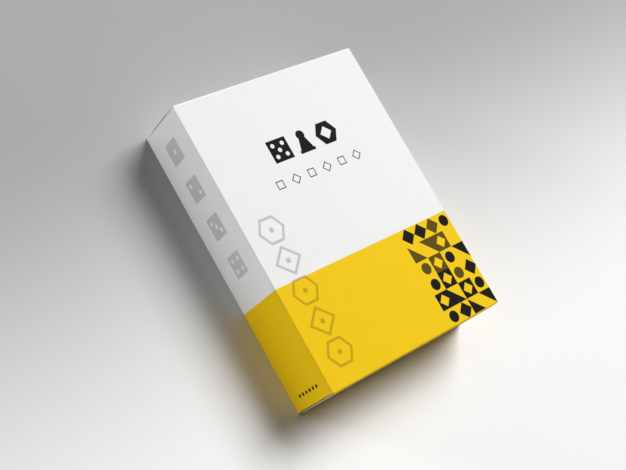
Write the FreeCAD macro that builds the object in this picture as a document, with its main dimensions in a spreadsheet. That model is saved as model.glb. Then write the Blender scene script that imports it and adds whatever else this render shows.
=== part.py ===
import FreeCAD, Part
import math
import os
import Sketcher

# A tuck-end game carton lying on its back, with the game packed inside it.
# +X is the right of the cover, +Y its top edge and +Z the way it faces.
# The origin is under the middle of the box, on the surface that it lies on.

# Driving sizes: millimetres, and degrees for an angle
SIZES = [
    ("cover_width", 190, "cover, left edge to right edge"),
    ("cover_height", 254, "cover, bottom edge to top edge"),
    ("box_depth", 57, "cover face to back face"),
    ("board_caliper", 0.8, "thickness of the carton board"),
    ("crease_radius", 1.0, "outside radius of a folded crease"),
    ("seam_inset", 0.5, "raw edge of the back panel inside the right face"),
    ("glue_flap_width", 16, "glue flap, from the right face"),
    ("glue_flap_mitre", 6, "how far the glue flap's ends slope"),
    ("glue_flap_end_gap", 2, "glue flap's end inside the side panel's"),
    ("lid_crown", 0.9, "outward bow of a closed end panel"),
    ("lid_side_gap", 0.3, "side edge of an end panel inside the side panel's crease"),
    ("flap_gap", 0.25, "end panel to dust flap"),
    ("tuck_length", 16, "tuck flap, crease to tip"),
    ("tuck_angle", 15, "angle of the tuck flap off the back panel"),
    ("tuck_clearance", 0.5, "tuck crease to the back panel"),
    ("tuck_side_gap", 0.8, "tuck flap's side to the insert's skirt"),
    ("tuck_corner", 13, "corner radius of the tuck flap"),
    ("dust_length", 40, "dust flap, crease to free end"),
    ("dust_hinge_relief", 3, "dust flap's edge below the end panel's crease"),
    ("dust_hinge_slope", 22, "how far that edge slopes along the flap"),
    ("dust_tuck_relief", 3, "dust flap's edge above the tuck crease"),
    ("dust_tuck_slope", 3, "how far that edge slopes along the flap"),
    ("dust_corner", 5, "corner radius of a dust flap"),
    ("insert_caliper", 1.2, "thickness of the insert's board"),
    ("insert_side_gap", 0.6, "insert's wall to the side panel"),
    ("insert_end_gap", 1.0, "insert's end wall to the dust flap"),
    ("insert_lift", 6.4, "back panel to the underside of the insert's floor"),
    ("divider_drop", 1.5, "divider's top edge below the walls"),
    ("slot_clearance", 0.3, "divider slot over the board that it takes"),
    ("notch_radius", 14, "finger notch in an end wall"),
    ("leaf_thickness", 2.4, "one leaf of the folded game board"),
    ("leaf_margin", 0.5, "edge of the game board inside the insert's outer face"),
    ("leaf_gap", 0.1, "between the folded leaves"),
    ("tape_thickness", 0.3, "cloth hinge of the game board"),
    ("tape_wing", 14, "cloth hinge over each leaf"),
    ("booklet_thickness", 1.6, "rule booklet"),
    ("booklet_margin", 6, "edge of the booklet inside the insert"),
    ("cover_clearance", 2.6, "booklet to the inside of the cover"),
    ("card_width", 63, "playing card"),
    ("card_length", 88, "playing card"),
    ("card_corner", 3.5, "corner radius of a card"),
    ("deck_thickness", 30, "one deck"),
    ("die_size", 16, "edge of a die"),
    ("die_round", 1.6, "edge radius of a die"),
    ("die_spacing", 34, "centre to centre of the dice"),
    ("pip_radius", 1.6, "ball that hollows a pip"),
    ("pip_depth", 0.7, "depth of a pip"),
    ("pip_pitch", 4.0, "pip rows from the middle of a face"),
    ("pawn_base_radius", 7, "pawn's foot"),
    ("pawn_foot_height", 3, "pawn's foot"),
    ("pawn_waist_radius", 2.6, "pawn's neck"),
    ("pawn_waist_height", 16, "floor to the pawn's neck"),
    ("pawn_flare", 40, "radius of the hollow between the pawn's foot and neck"),
    ("pawn_head_radius", 4.5, "pawn's head"),
    ("pawn_pitch", 24, "pawn to pawn"),
]
PAWNS = 4
SHEET = "Sizes"

doc = FreeCAD.newDocument("game_carton")
nodes = {}


class Size:
    """A size that carries its value now and the sheet formula that gives it."""

    def __init__(self, value, formula):
        self.value = value
        self.formula = formula

    def join(self, other, sign, value):
        formula = other.formula if isinstance(other, Size) else str(other)
        return Size(value, f"({self.formula} {sign} {formula})")

    def __add__(self, other):
        return self.join(other, "+", self.value + number(other))

    def __sub__(self, other):
        return self.join(other, "-", self.value - number(other))

    def __mul__(self, other):
        return self.join(other, "*", self.value * number(other))

    def __truediv__(self, other):
        return self.join(other, "/", self.value / number(other))

    def __neg__(self):
        return Size(-self.value, f"(-1 * {self.formula})")


def number(thing):
    """The plain number in a size, or the number itself."""
    return thing.value if isinstance(thing, Size) else thing


def sine(angle):
    return Size(math.sin(math.radians(angle.value)), f"sin({angle.formula} * 1 deg)")


def cosine(angle):
    return Size(math.cos(math.radians(angle.value)), f"cos({angle.formula} * 1 deg)")


def bow_radius(chord, rise):
    """Radius of the arc that stands a rise above its chord."""
    return (chord * chord / 4 + rise * rise) / (rise * 2)


def write_sheet():
    """Puts every driving size in the sheet and returns them by name."""
    sheet = doc.addObject("Spreadsheet::Sheet", SHEET)
    sizes = {}
    for row, (alias, value, note) in enumerate(SIZES, start=1):
        sheet.set(f"A{row}", note)
        sheet.set(f"B{row}", str(value))
        sheet.setAlias(f"B{row}", alias)
        sizes[alias] = Size(float(value), f"{SHEET}.{alias}")
    doc.recompute()
    return sizes


def new_body(label):
    body = doc.addObject("PartDesign::Body", label)
    nodes[label] = body
    return body


def origin_feature(body, role):
    return next(item for item in body.Origin.OriginFeatures if item.Role == role)


def sketch_on(body, role, offset=None):
    """A sketch on one of the body's origin planes, or a distance above it."""
    sketch = body.newObject("Sketcher::SketchObject", f"{body.Name}_outline")
    sketch.AttachmentSupport = [(origin_feature(body, role), "")]
    sketch.MapMode = "FlatFace"
    if offset is not None:
        sketch.setExpression("AttachmentOffset.Base.z", offset.formula)
    return sketch


def edge_between(start, end, radius, side):
    """A line, or an arc that bulges to the left of its run (side 1) or to the right (side -1)."""
    first = FreeCAD.Vector(start[0].value, start[1].value, 0)
    last = FreeCAD.Vector(end[0].value, end[1].value, 0)
    if radius is None:
        return Part.LineSegment(first, last)
    run = last - first
    left = FreeCAD.Vector(-run.y, run.x, 0).normalize()
    rise = radius.value - math.sqrt(radius.value ** 2 - run.Length ** 2 / 4)
    middle = (first + last) / 2 + left * rise * side
    return Part.Arc(first, middle, last)


def outline(sketch, corners):
    """Draws a closed outline and ties it to the sheet.

    A corner is (x, y), or (x, y, radius, side) where the edge that leaves it is an arc.
    """
    ends = []
    for index, corner in enumerate(corners):
        follower = corners[(index + 1) % len(corners)]
        radius, side = corner[2:] if len(corner) > 2 else (None, 0)
        edge = sketch.addGeometry(edge_between(corner, follower, radius, side), False)
        start = FreeCAD.Vector(corner[0].value, corner[1].value, 0)
        forward = (sketch.getPoint(edge, 1) - start).Length <= (sketch.getPoint(edge, 2) - start).Length
        ends.append((1, 2) if forward else (2, 1))
    for index, corner in enumerate(corners):
        follower = (index + 1) % len(corners)
        sketch.addConstraint(
            Sketcher.Constraint("Coincident", index, ends[index][1], follower, ends[follower][0]))
    for index, corner in enumerate(corners):
        for kind, size in zip(("DistanceX", "DistanceY"), corner):
            tie = sketch.addConstraint(
                Sketcher.Constraint(kind, -1, 1, index, ends[index][0], size.value))
            sketch.setExpression(f"Constraints[{tie}]", size.formula)
        if len(corner) > 2:
            tie = sketch.addConstraint(Sketcher.Constraint("Radius", index, corner[2].value))
            sketch.setExpression(f"Constraints[{tie}]", corner[2].formula)


def pad(body, sketch, length, both_ways=False):
    feature = body.newObject("PartDesign::Pad", f"{body.Name}_pad")
    feature.Profile = sketch
    feature.setExpression("Length", length.formula)
    feature.Midplane = both_ways
    doc.recompute()
    return feature


def plate(label, role, corners, thickness, offset=None, both_ways=False):
    """A flat or profiled piece: one outline, padded."""
    body = new_body(label)
    sketch = sketch_on(body, role, offset)
    outline(sketch, corners)
    pad(body, sketch, thickness, both_ways)
    return body


def round_corners(body, spots, radius):
    """Rounds the edges of a piece that pass nearest to the given spots."""
    base = body.Tip
    names = []
    for spot in spots:
        gaps = [(edge.CenterOfMass - spot).Length for edge in base.Shape.Edges]
        names.append(f"Edge{gaps.index(min(gaps)) + 1}")
    fillet = body.newObject("PartDesign::Fillet", f"{body.Name}_corners")
    fillet.Base = (base, names)
    fillet.setExpression("Radius", radius.formula)
    doc.recompute()


def place(item, x=None, y=None, z=None):
    """Ties the place of a piece to the sheet."""
    for axis, size in (("x", x), ("y", y), ("z", z)):
        if size is not None:
            item.setExpression(f"Placement.Base.{axis}", size.formula)


size = write_sheet()
zero = Size(0.0, "0")
caliper = size["board_caliper"]
crease = size["crease_radius"]
inner_crease = crease - caliper
half_width = size["cover_width"] / 2
half_height = size["cover_height"] / 2
depth = size["box_depth"]

# The side panels stop short of the end panels by one caliper, so that the dust flaps lie behind
side_end = half_height - caliper - size["flap_gap"]
# An end panel hangs from this line on the front panel's crease
hinge_level = depth - crease
# Its lower crease turns about this level, just inside the back panel
tuck_level = caliper + size["tuck_clearance"] + crease
# The insert's side walls reach down past the tuck flaps, which fit between them
insert_half_width = half_width - caliper - size["insert_side_gap"]
skirt_inside = insert_half_width - size["insert_caliper"]


def front_panel():
    """The cover: a sheet with four folded edges, two to the side panels and two to the end panels."""
    body = new_body("front_panel")
    across = sketch_on(body, "XZ_Plane")
    flat = half_width - crease
    outline(across, [
        (-half_width, hinge_level, crease, 1),
        (-flat, depth),
        (flat, depth, crease, 1),
        (half_width, hinge_level),
        (half_width - caliper, hinge_level, inner_crease, -1),
        (flat, depth - caliper),
        (-flat, depth - caliper, inner_crease, -1),
        (caliper - half_width, hinge_level),
    ])
    pad(body, across, (half_height - crease) * 2, both_ways=True)
    along = sketch_on(body, "YZ_Plane")
    flat = half_height - crease
    outline(along, [
        (-half_height, hinge_level, crease, 1),
        (-flat, depth),
        (flat, depth, crease, 1),
        (half_height, hinge_level),
        (half_height - caliper, hinge_level, inner_crease, -1),
        (flat, depth - caliper),
        (-flat, depth - caliper, inner_crease, -1),
        (caliper - half_height, hinge_level),
    ])
    pad(body, along, (half_width - crease) * 2, both_ways=True)


def back_panel():
    """The back: folded to the left panel, with a raw edge over the glue flap on the right."""
    flat = crease - half_width
    seam = half_width - size["seam_inset"]
    plate("back_panel", "XZ_Plane", [
        (-half_width, crease, crease, -1),
        (flat, zero),
        (seam, zero),
        (seam, caliper),
        (flat, caliper, inner_crease, 1),
        (caliper - half_width, crease),
    ], half_height * 2, both_ways=True)


def side_panel(label, side, foot):
    """A side wall with a folded lip at each end, where its dust flaps begin."""
    outer = half_width * side
    inner = (half_width - caliper) * side
    lip = (half_width - crease) * side
    straight = side_end - crease
    plate(label, "XY_Plane", [
        (outer, -straight),
        (outer, straight, crease, side),
        (lip, side_end),
        (lip, side_end - caliper, inner_crease, -side),
        (inner, straight),
        (inner, -straight, inner_crease, -side),
        (lip, caliper - side_end),
        (lip, -side_end, crease, side),
    ], hinge_level - foot, offset=foot)


def glue_flap():
    """The strip that folds in from the right panel and is glued inside the back panel."""
    body = new_body("glue_flap")
    bend = sketch_on(body, "XZ_Plane")
    root = half_width - crease
    outline(bend, [
        (half_width, caliper + crease, crease, -1),
        (root, caliper),
        (root, caliper * 2, inner_crease, 1),
        (half_width - caliper, caliper + crease),
    ])
    reach = side_end - crease - size["glue_flap_end_gap"]
    pad(body, bend, reach * 2, both_ways=True)
    strip = sketch_on(body, "XY_Plane", caliper)
    tip = half_width - size["glue_flap_width"]
    tip_reach = reach - size["glue_flap_mitre"]
    outline(strip, [(root, -reach), (root, reach), (tip, tip_reach), (tip, -tip_reach)])
    pad(body, strip, caliper)


def end_panel(label, end):
    """The lid at one end: bowed a little outwards, with the crease that turns into the tuck flap."""
    lean = size["tuck_angle"]
    bow = bow_radius(hinge_level - tuck_level, size["lid_crown"])
    outer = half_height * end
    inner = (half_height - caliper) * end
    bend_middle = half_height - crease
    plate(label, "YZ_Plane", [
        (outer, hinge_level, bow, end),
        (outer, tuck_level, crease, end),
        ((bend_middle - crease * sine(lean)) * end, tuck_level - crease * cosine(lean)),
        ((bend_middle - inner_crease * sine(lean)) * end, tuck_level - inner_crease * cosine(lean),
         inner_crease, -end),
        (inner, tuck_level, bow, -end),
        (inner, hinge_level),
    ], (half_width - crease - size["lid_side_gap"]) * 2, both_ways=True)


def tuck_flap(label, end):
    """The flap that tucks in along the back panel, with rounded corners that find the slot."""
    lean = size["tuck_angle"]
    side = skirt_inside - size["tuck_side_gap"]
    tip = size["tuck_length"] * -end
    body = plate(label, "XY_Plane", [(-side, zero), (side, zero), (side, tip), (-side, tip)], caliper)
    corners = [FreeCAD.Vector(x, tip.value, caliper.value / 2) for x in (-side.value, side.value)]
    round_corners(body, corners, size["tuck_corner"])
    body.Placement = FreeCAD.Placement(FreeCAD.Vector(), FreeCAD.Rotation(FreeCAD.Vector(1, 0, 0), -end))
    body.setExpression("Placement.Rotation.Angle", f"{(lean * -end).formula} * 1 deg")
    bend_middle = half_height - crease
    place(body, y=(bend_middle - crease * sine(lean)) * end, z=tuck_level - crease * cosine(lean))


def dust_flap(label, end, side):
    """A flap behind the end panel, cut back where it would catch the lid's crease or the tuck flap."""
    root = (half_width - crease) * side
    free = (half_width - crease - size["dust_length"]) * side
    top = hinge_level - size["dust_hinge_relief"]
    bottom = tuck_level + size["dust_tuck_relief"]
    free_top = top - size["dust_hinge_slope"]
    free_bottom = bottom + size["dust_tuck_slope"]
    face = -side_end if end > 0 else side_end - caliper
    body = plate(label, "XZ_Plane", [(root, bottom), (free, free_bottom), (free, free_top), (root, top)],
                 caliper, offset=face)
    middle = -(face + caliper / 2).value
    corners = [FreeCAD.Vector(free.value, middle, z.value) for z in (free_bottom, free_top)]
    round_corners(body, corners, size["dust_corner"])


front_panel()
back_panel()
side_panel("left_panel", -1, crease)
side_panel("right_panel", 1, caliper + crease)
glue_flap()
for name, end in (("top", 1), ("bottom", -1)):
    end_panel(f"{name}_lid", end)
    tuck_flap(f"{name}_tuck_flap", end)
    dust_flap(f"{name}_left_dust_flap", end, -1)
    dust_flap(f"{name}_right_dust_flap", end, 1)

# The insert: a folded tray with skirts, which lifts its floor clear of the tuck flaps
board = size["insert_caliper"]
insert_half_length = side_end - caliper - size["insert_end_gap"]
well_half_width = skirt_inside
well_half_length = insert_half_length - board
insert_foot = caliper * 2
floor_under = caliper + size["insert_lift"]
floor_top = floor_under + board
stack_height = size["leaf_thickness"] * 2 + size["leaf_gap"] + size["tape_thickness"] * 2
wall_top = depth - caliper - size["cover_clearance"] - size["booklet_thickness"] - stack_height
divider_top = wall_top - size["divider_drop"]
well_middle_x = (well_half_width + board / 2) / 2
well_middle_y = (well_half_length + board / 2) / 2


def rectangle(x_low, x_high, y_low, y_high):
    return [(x_low, y_low), (x_high, y_low), (x_high, y_high), (x_low, y_high)]


def end_wall(label, end):
    """An end wall of the tray, with a finger notch over each well."""
    notch = size["notch_radius"]
    face = -insert_half_length if end > 0 else well_half_length
    plate(label, "XZ_Plane", [
        (-well_half_width, floor_top),
        (well_half_width, floor_top),
        (well_half_width, wall_top),
        (well_middle_x + notch, wall_top, notch, 1),
        (well_middle_x, wall_top - notch, notch, 1),
        (well_middle_x - notch, wall_top),
        (notch - well_middle_x, wall_top, notch, 1),
        (-well_middle_x, wall_top - notch, notch, 1),
        (-well_middle_x - notch, wall_top),
        (-well_half_width, wall_top),
    ], board, offset=face)


def divider(label, role, reach, slotted_edge, whole_edge):
    """A cross wall, slotted to half its height so that the two dividers halve over each other."""
    slot = (board + size["slot_clearance"]) / 2
    slot_end = (floor_top + divider_top) / 2
    plate(label, role, [
        (-reach, whole_edge),
        (-reach, slotted_edge),
        (-slot, slotted_edge),
        (-slot, slot_end),
        (slot, slot_end),
        (slot, slotted_edge),
        (reach, slotted_edge),
        (reach, whole_edge),
    ], board, both_ways=True)


plate("insert_floor", "XY_Plane",
      rectangle(-well_half_width, well_half_width, -insert_half_length, insert_half_length),
      board, offset=floor_under)
for name, low, high in (("left", -insert_half_width, -well_half_width),
                        ("right", well_half_width, insert_half_width)):
    plate(f"insert_{name}_wall", "XY_Plane", rectangle(low, high, -insert_half_length, insert_half_length),
          wall_top - insert_foot, offset=insert_foot)
end_wall("insert_top_wall", 1)
end_wall("insert_bottom_wall", -1)
divider("insert_long_divider", "YZ_Plane", well_half_length, divider_top, floor_top)
divider("insert_cross_divider", "XZ_Plane", well_half_width, floor_top, divider_top)

# The game board, folded in two on the tray's walls, and the booklet on top of it
leaf = size["leaf_thickness"]
tape = size["tape_thickness"]
leaf_half_width = insert_half_width - size["leaf_margin"]
leaf_half_length = insert_half_length - size["leaf_margin"]
lower_leaf = wall_top + tape
upper_leaf = lower_leaf + leaf + size["leaf_gap"]
stack_top = upper_leaf + leaf
for name, level in (("lower", lower_leaf), ("upper", upper_leaf)):
    plate(f"game_board_{name}_leaf", "XY_Plane",
          rectangle(-leaf_half_width, leaf_half_width, -leaf_half_length, leaf_half_length), leaf, offset=level)
wing = leaf_half_length - size["tape_wing"]
plate("game_board_hinge_tape", "YZ_Plane", [
    (wing, wall_top),
    (leaf_half_length + tape, wall_top),
    (leaf_half_length + tape, stack_top + tape),
    (wing, stack_top + tape),
    (wing, stack_top),
    (leaf_half_length, stack_top),
    (leaf_half_length, lower_leaf),
    (wing, lower_leaf),
], leaf_half_width * 2, both_ways=True)

booklet_half_width = insert_half_width - size["booklet_margin"]
booklet_half_length = insert_half_length - size["booklet_margin"]
booklet = size["booklet_thickness"]
booklet_foot = stack_top + tape
plate("rule_booklet", "XZ_Plane", [
    (booklet / 2 - booklet_half_width, booklet_foot),
    (booklet_half_width, booklet_foot),
    (booklet_half_width, booklet_foot + booklet),
    (booklet / 2 - booklet_half_width, booklet_foot + booklet, booklet / 2, -1),
    (-booklet_half_width, booklet_foot + booklet / 2, booklet / 2, -1),
], booklet_half_length * 2, both_ways=True)


def card_deck(label, side):
    """A deck of cards, lying in one of the lower wells."""
    middle = well_middle_x * side
    low = middle - size["card_width"] / 2
    high = middle + size["card_width"] / 2
    near = -well_middle_y - size["card_length"] / 2
    far = size["card_length"] / 2 - well_middle_y
    body = plate(label, "XY_Plane", rectangle(low, high, near, far), size["deck_thickness"], offset=floor_top)
    level = (floor_top + size["deck_thickness"] / 2).value
    corners = [FreeCAD.Vector(x.value, y.value, level) for x in (low, high) for y in (near, far)]
    round_corners(body, corners, size["card_corner"])


card_deck("card_deck_left", -1)
card_deck("card_deck_right", 1)


def pawns():
    """A row of turned pawns on the floor of the upper left well."""
    body = new_body("pawns")
    profile = sketch_on(body, "XZ_Plane")
    foot = size["pawn_base_radius"]
    rim = size["pawn_foot_height"]
    waist = size["pawn_waist_radius"]
    neck = size["pawn_waist_height"]
    head = size["pawn_head_radius"]
    head_middle = neck + head
    outline(profile, [
        (zero, zero),
        (foot, zero),
        (foot, rim, size["pawn_flare"], 1),
        (waist, neck),
        (waist, head_middle - head * Size(math.sqrt(1 - (waist.value / head.value) ** 2),
                                          f"sqrt(1 - ({waist.formula} / {head.formula})^2)"), head, -1),
        (head, head_middle, head, -1),
        (zero, head_middle + head),
    ])
    turn = body.newObject("PartDesign::Revolution", "pawns_turning")
    turn.Profile = profile
    turn.ReferenceAxis = (profile, ["V_Axis"])
    doc.recompute()
    row = body.newObject("PartDesign::LinearPattern", "pawns_row")
    row.Originals = [turn]
    row.Direction = (origin_feature(body, "Y_Axis"), [""])
    row.setExpression("Length", (size["pawn_pitch"] * (PAWNS - 1)).formula)
    row.Occurrences = PAWNS
    body.Tip = row
    place(body, x=-well_middle_x, y=well_middle_y - size["pawn_pitch"] * (PAWNS - 1) / 2, z=floor_top)


pawns()


def pip_spots(value):
    """Pip positions on a face, in steps of the pip pitch from its middle."""
    corners = [(-1, -1), (1, 1), (-1, 1), (1, -1), (-1, 0), (1, 0)]
    middle = [(0, 0)] if value % 2 else []
    return corners[:value - value % 2] + middle


def die(label, x, y):
    """A die with rounded edges and hollowed pips; opposite faces add up to seven."""
    blank = doc.addObject("PartDesign::Body", f"{label}_blank")
    half = size["die_size"] / 2
    sketch = sketch_on(blank, "XY_Plane", -half)
    outline(sketch, rectangle(-half, half, -half, half))
    cube = pad(blank, sketch, size["die_size"])
    fillet = blank.newObject("PartDesign::Fillet", f"{label}_edges")
    fillet.Base = (cube, [f"Edge{index + 1}" for index in range(len(cube.Shape.Edges))])
    fillet.setExpression("Radius", size["die_round"].formula)
    lift = half + size["pip_radius"] - size["pip_depth"]
    faces = {1: (2, 1), 6: (2, -1), 2: (0, 1), 5: (0, -1), 3: (1, 1), 4: (1, -1)}
    balls = []
    for value, (axis, sign) in faces.items():
        for across, along in pip_spots(value):
            ball = doc.addObject("Part::Sphere", f"{label}_pip")
            ball.setExpression("Radius", size["pip_radius"].formula)
            spot = [size["pip_pitch"] * across, size["pip_pitch"] * along]
            spot.insert(axis, lift * sign)
            place(ball, *spot)
            balls.append(ball)
    drill = doc.addObject("Part::MultiFuse", f"{label}_pips")
    drill.Shapes = balls
    cut = doc.addObject("Part::Cut", label)
    cut.Base = blank
    cut.Tool = drill
    place(cut, x, y, floor_top + half)
    return cut


dice = doc.addObject("Part::Compound", "dice")
dice.Links = [die(f"die_{index}", well_middle_x, well_middle_y + size["die_spacing"] * shift)
              for index, shift in enumerate((-0.5, 0.5), start=1)]
nodes["dice"] = dice

doc.recompute()
for item in doc.Objects:
    if "Invalid" in item.State or "Error" in item.State:
        raise RuntimeError(f"{item.Name} failed: {item.State}")
for label, item in nodes.items():
    if item.Shape.isNull() or not item.Shape.isValid():
        raise RuntimeError(f"{label} has no valid shape")
os.makedirs("parts", exist_ok=True)
for label, item in nodes.items():
    item.Shape.exportStep(f"parts/{label}.step")
    box = item.Shape.BoundBox
    print(f"{label}: {len(item.Shape.Solids)} solid, {item.Shape.Volume:.0f} mm3, "
          f"x {box.XMin:.2f}..{box.XMax:.2f}, y {box.YMin:.2f}..{box.YMax:.2f}, z {box.ZMin:.2f}..{box.ZMax:.2f}")
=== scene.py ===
# %% [markdown]
# A tuck-end game carton
#
# The real thing is one sheet of printed board, cut, creased, folded and glued, with a board insert and a
# game inside. The solids of the part are the fixed frame here. Each folded panel is drawn again around its
# solid with a round crease, a printed face, a plain inside and a raw edge, so that it looks like board from
# every side.

# %% The frame
import math
import bmesh
import bpy
from mathutils import Matrix, Vector


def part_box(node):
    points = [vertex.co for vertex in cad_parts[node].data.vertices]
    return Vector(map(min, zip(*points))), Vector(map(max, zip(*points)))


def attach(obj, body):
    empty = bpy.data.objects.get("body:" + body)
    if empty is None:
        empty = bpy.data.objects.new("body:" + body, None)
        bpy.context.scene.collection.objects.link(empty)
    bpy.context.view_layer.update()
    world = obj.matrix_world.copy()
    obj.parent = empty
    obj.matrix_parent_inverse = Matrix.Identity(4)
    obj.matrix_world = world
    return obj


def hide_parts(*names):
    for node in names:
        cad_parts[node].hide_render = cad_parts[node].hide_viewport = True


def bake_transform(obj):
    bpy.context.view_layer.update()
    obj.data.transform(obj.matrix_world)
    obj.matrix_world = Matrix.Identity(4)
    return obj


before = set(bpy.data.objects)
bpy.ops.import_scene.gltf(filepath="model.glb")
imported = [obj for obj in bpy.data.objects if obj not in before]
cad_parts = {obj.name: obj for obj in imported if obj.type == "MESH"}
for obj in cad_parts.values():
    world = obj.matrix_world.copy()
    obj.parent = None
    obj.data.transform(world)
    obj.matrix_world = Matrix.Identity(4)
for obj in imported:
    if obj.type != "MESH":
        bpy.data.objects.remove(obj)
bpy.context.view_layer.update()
MM = 0.001


# %% [markdown]
# Reading the carton's sizes
#
# The print and the folds need the carton's own sizes. They could be typed in, but they are read from the
# solids, so the drawing follows the part if a size changes.


# %% Sizes of the carton, in millimetres
def reach(node):
    """A solid's lowest and highest corner in millimetres."""
    return [Vector(corner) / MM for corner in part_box(node)]


HALF_W, HALF_H, DEPTH = reach("front_panel")[1]
print(f"cover {2 * HALF_W:.0f} x {2 * HALF_H:.0f}, depth {DEPTH:.0f}")

# %% [markdown]
# The camera
#
# The photo looks down on the cover from the left, with the camera rolled. Its place and turn come from the
# six corners that the photo shows. A track-to constraint would lose the roll, so the three axes of the
# camera are written as a matrix: right, up and backwards.

# %% Camera
SENSOR_WIDTH = 36
LENS = 69.29
CAMERA_PLACE = Vector((-0.59479, -0.13679, 0.81364))
CAMERA_RIGHT = Vector((0.73934, -0.4899, 0.46192))
CAMERA_UP = Vector((0.32964, 0.86154, 0.38612))

camera_data = bpy.data.cameras.new("camera")
camera_data.sensor_fit = "HORIZONTAL"
camera_data.sensor_width = SENSOR_WIDTH
camera_data.lens = LENS
camera = bpy.data.objects.new("camera", camera_data)
bpy.context.scene.collection.objects.link(camera)
turn = Matrix((CAMERA_RIGHT, CAMERA_UP, CAMERA_RIGHT.cross(CAMERA_UP))).transposed()
camera.matrix_world = Matrix.Translation(CAMERA_PLACE) @ turn.to_4x4()
bpy.context.scene.camera = camera
print(f"camera lens {LENS} mm, {CAMERA_PLACE.length:.2f} m from the box")

# %% [markdown]
# A small language for materials
#
# A material is a net of nodes, and arithmetic in it soon hides behind node calls. This class wraps one
# output of a node. Plus, minus and times on it add Math nodes, so a pattern reads like a formula, and one
# method adds any other node.


# %% Arithmetic on node sockets
class Wire:
    """A value on its way through a material's nodes."""

    def __init__(self, tree, socket=None):
        self.tree = tree
        self.socket = socket

    def add(self, kind, settings=None, inputs=None, result=0):
        """Adds any node: its settings first, then the values or links of its sockets."""
        node = self.tree.nodes.new(kind)
        for name, value in (settings or {}).items():
            setattr(node, name, value)
        for name, value in (inputs or {}).items():
            socket = next(item for item in node.inputs if item.identifier == name)
            if isinstance(value, Wire):
                self.tree.links.new(value.socket, socket)
            else:
                socket.default_value = value
        return Wire(self.tree, node.outputs[result])

    def math(self, operation, first, second=0.0, clamp=False):
        return self.add("ShaderNodeMath", {"operation": operation, "use_clamp": clamp},
                        {"Value": first, "Value_001": second})

    def __add__(self, other):
        return self.math("ADD", self, other)

    def __sub__(self, other):
        return self.math("SUBTRACT", self, other)

    def __rsub__(self, other):
        return self.math("SUBTRACT", other, self)

    def __mul__(self, other):
        return self.math("MULTIPLY", self, other)

    def __neg__(self):
        return 0 - self

    def __abs__(self):
        return self.math("ABSOLUTE", self)

    __radd__ = __add__
    __rmul__ = __mul__

    def least(self, other):
        return self.math("MINIMUM", self, other)

    def most(self, other):
        return self.math("MAXIMUM", self, other)

    def root(self):
        return self.math("SQRT", self)

    def floor(self):
        return self.math("FLOOR", self)

    def odd(self):
        return self.math("FLOORED_MODULO", self, 2.0)

    def above(self, level):
        return self.math("GREATER_THAN", self, level)

    def clamp(self):
        return self.math("ADD", self, clamp=True)

    def wave(self, pitch):
        """A sine that repeats after each pitch."""
        return self.math("SINE", self * (2 * math.pi / pitch))

    def ramp(self, low, high):
        """0 at low, 1 at high, with an eased run between them."""
        return self.add("ShaderNodeMapRange", {"interpolation_type": "SMOOTHSTEP"},
                        {"Value": self, "From Min": low, "From Max": high})

    def mix(self, colour_a, colour_b):
        """The first colour where this mask is 0, the second where it is 1."""
        return self.add("ShaderNodeMix", {"data_type": "RGBA"},
                        {"Factor_Float": self, "A_Color": colour_a, "B_Color": colour_b}, result=2)


print("a wire can", ", ".join(name for name in vars(Wire) if not name.startswith("_")))

# %% [markdown]
# Colours
#
# Ink is matched on a screen, from 0 to 255 for each of red, green and blue. A shader counts light
# instead, and half of the screen's scale is only about a fifth of full light. The helper turns one into the
# other, so that a colour can be written as it looks.


# %% Screen colours as light
def tone(red, green, blue):
    """A colour as it looks on a screen, from 0 to 255, as the linear values that a shader takes."""
    parts = [channel / 255 for channel in (red, green, blue)]
    linear = [part / 12.92 if part <= 0.04045 else ((part + 0.055) / 1.055) ** 2.4 for part in parts]
    return (*linear, 1.0)


print(f"screen grey 128 is {tone(128, 128, 128)[0]:.3f} of full light")

# %% [markdown]
# Starting a finish
#
# Every finish here reads the object's own coordinates, which are the part's millimetres once they are
# scaled, so a pattern has its real size. The noise helpers give mottle, fibre or grain at a stated size,
# and the last helper joins colour, roughness and a small bump to the shader, and prints what it made.


# %% Starting a finish
def start_finish(name):
    """A new material, the surface point to build on, and that point's x, y and z in millimetres."""
    material = bpy.data.materials.new(name)
    material.use_nodes = True
    point = Wire(material.node_tree).add("ShaderNodeTexCoord", result="Object")
    place = [point.add("ShaderNodeSeparateXYZ", inputs={"Vector": point}, result=axis) * (1 / MM)
             for axis in ("X", "Y", "Z")]
    return material, point, place


def grain(point, size, detail=3.0):
    """Noise with features of the given size; three sizes stretch it into fibres."""
    sizes = (size, size, size) if isinstance(size, (int, float)) else size
    scaled = point.add("ShaderNodeMapping", inputs={
        "Vector": point, "Scale": [1 / (MM * length) for length in sizes]})
    return point.add("ShaderNodeTexNoise", inputs={"Vector": scaled, "Scale": 1.0, "Detail": detail})


def crossed_grain(point, first, second):
    """Two stretched noises in equal shares."""
    return grain(point, first) * 0.5 + grain(point, second) * 0.5


def end_finish(material, colour, roughness, height=None, lift=0.02, **constants):
    """Joins the varying values to the shader; the rest are constants on its own sockets."""
    tree = material.node_tree
    shader = tree.nodes["Principled BSDF"]
    tree.links.new(colour.socket, shader.inputs["Base Color"])
    tree.links.new(roughness.socket, shader.inputs["Roughness"])
    if height is not None:
        bump = height.add("ShaderNodeBump", inputs={"Height": height, "Distance": lift * MM, "Strength": 1.0})
        tree.links.new(bump.socket, shader.inputs["Normal"])
    for name, value in constants.items():
        shader.inputs[name.replace("_", " ")].default_value = value
    print("finish", material.name, len(tree.nodes), "nodes")
    return material


print(f"finishes count in millimetres, {1 / MM:.0f} to the metre")

# %% [markdown]
# Shapes for the print
#
# The print is flat ink, so it is colour and not geometry. A shape is a formula for the distance to its
# edge, less than zero inside, and a mask turns that into ink. Distances can be joined, cut and repeated,
# which images can't: the least of two joins them, and the most of one and another's minus cuts a hole.


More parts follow.
